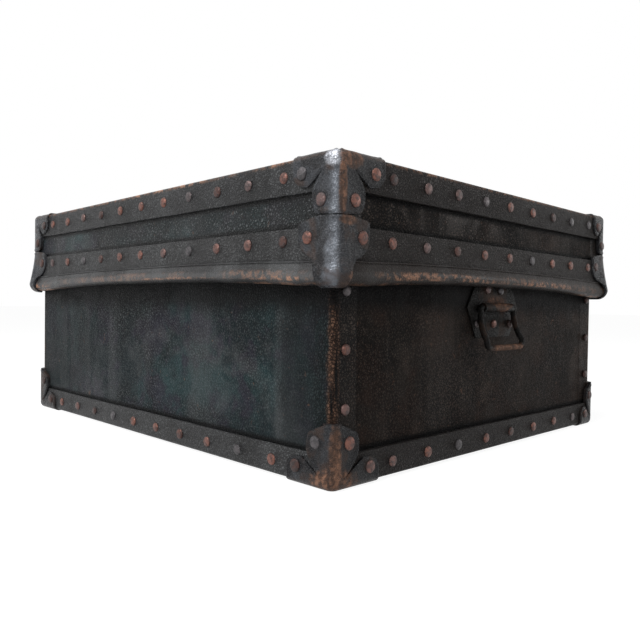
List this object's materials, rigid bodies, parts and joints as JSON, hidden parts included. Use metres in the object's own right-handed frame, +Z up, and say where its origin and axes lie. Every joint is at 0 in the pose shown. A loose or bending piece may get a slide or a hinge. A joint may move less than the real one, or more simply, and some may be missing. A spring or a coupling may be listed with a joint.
{
  "type": "riveted travelling chest",
  "caption": "Low riveted travelling chest in leather-grained fibre sheet with bound edges, formed corner caps, a deep lift-off lid and a swinging bail handle on each end.",
  "frame": {"origin": "on the floor under the middle of the chest", "axes": "+Z up, +X along the long side towards the right end with its handle, the front faces -Y"},
  "size_m": [0.6976, 0.582, 0.3079],
  "materials": {
    "panel_fibre": "worn black fibre sheet with a leather grain",
    "inner_fibre": "plain dark fibre sheet, matt",
    "edge_binding": "pressed fibre strip, worn along its edge",
    "rim_band": "pressed fibre strip, rubbed to tan along the bead",
    "corner_cap": "black paint worn to steel and brown",
    "handle_iron": "worn dark iron"
  },
  "bodies": {
    "body": {"body_front_panel": "panel_fibre", "body_back_panel": "panel_fibre", "body_right_end_panel": "panel_fibre", "body_left_end_panel": "panel_fibre", "body_bottom_panel": "inner_fibre", "bottom_binding_front": "edge_binding", "bottom_binding_back": "edge_binding", "bottom_binding_right": "edge_binding", "bottom_binding_left": "edge_binding", "bottom_corner_cap_front_right": "corner_cap", "bottom_corner_cap_back_right": "corner_cap", "bottom_corner_cap_back_left": "corner_cap", "bottom_corner_cap_front_left": "corner_cap", "mouth_binding_front": "edge_binding", "mouth_binding_back": "edge_binding", "mouth_binding_right": "edge_binding", "mouth_binding_left": "edge_binding", "right_handle_plate": "handle_iron", "left_handle_plate": "handle_iron", "right_handle_backing_plate": "handle_iron", "left_handle_backing_plate": "handle_iron"},
    "lid": {"lid_top_panel": "panel_fibre", "lid_front_panel": "panel_fibre", "lid_back_panel": "panel_fibre", "lid_right_end_panel": "panel_fibre", "lid_left_end_panel": "panel_fibre", "lid_top_binding_front": "edge_binding", "lid_top_binding_back": "edge_binding", "lid_top_binding_right": "edge_binding", "lid_top_binding_left": "edge_binding", "lid_rim_band_front": "rim_band", "lid_rim_band_back": "rim_band", "lid_rim_band_right": "rim_band", "lid_rim_band_left": "rim_band", "lid_corner_cap_front_right": "corner_cap", "lid_corner_cap_back_right": "corner_cap", "lid_corner_cap_back_left": "corner_cap", "lid_corner_cap_front_left": "corner_cap", "rim_corner_cap_front_right": "corner_cap", "rim_corner_cap_back_right": "corner_cap", "rim_corner_cap_back_left": "corner_cap", "rim_corner_cap_front_left": "corner_cap"},
    "right_bail": {"right_handle_bail": "handle_iron"},
    "left_bail": {"left_handle_bail": "handle_iron"}
  },
  "joints": [
    {"name": "lid_lift", "type": "slide", "parent": "body", "child": "lid", "axis": [0, 0, 1], "range_m": [0, 0.125]},
    {"name": "right_bail_swing", "type": "hinge", "parent": "body", "child": "right_bail", "pos_m": [0.3305, 0, 0.1684], "axis": [0, -1, 0], "range_deg": [0, 130]},
    {"name": "left_bail_swing", "type": "hinge", "parent": "body", "child": "left_bail", "pos_m": [-0.3305, 0, 0.1684], "axis": [0, 1, 0], "range_deg": [0, 130]}
  ]
}
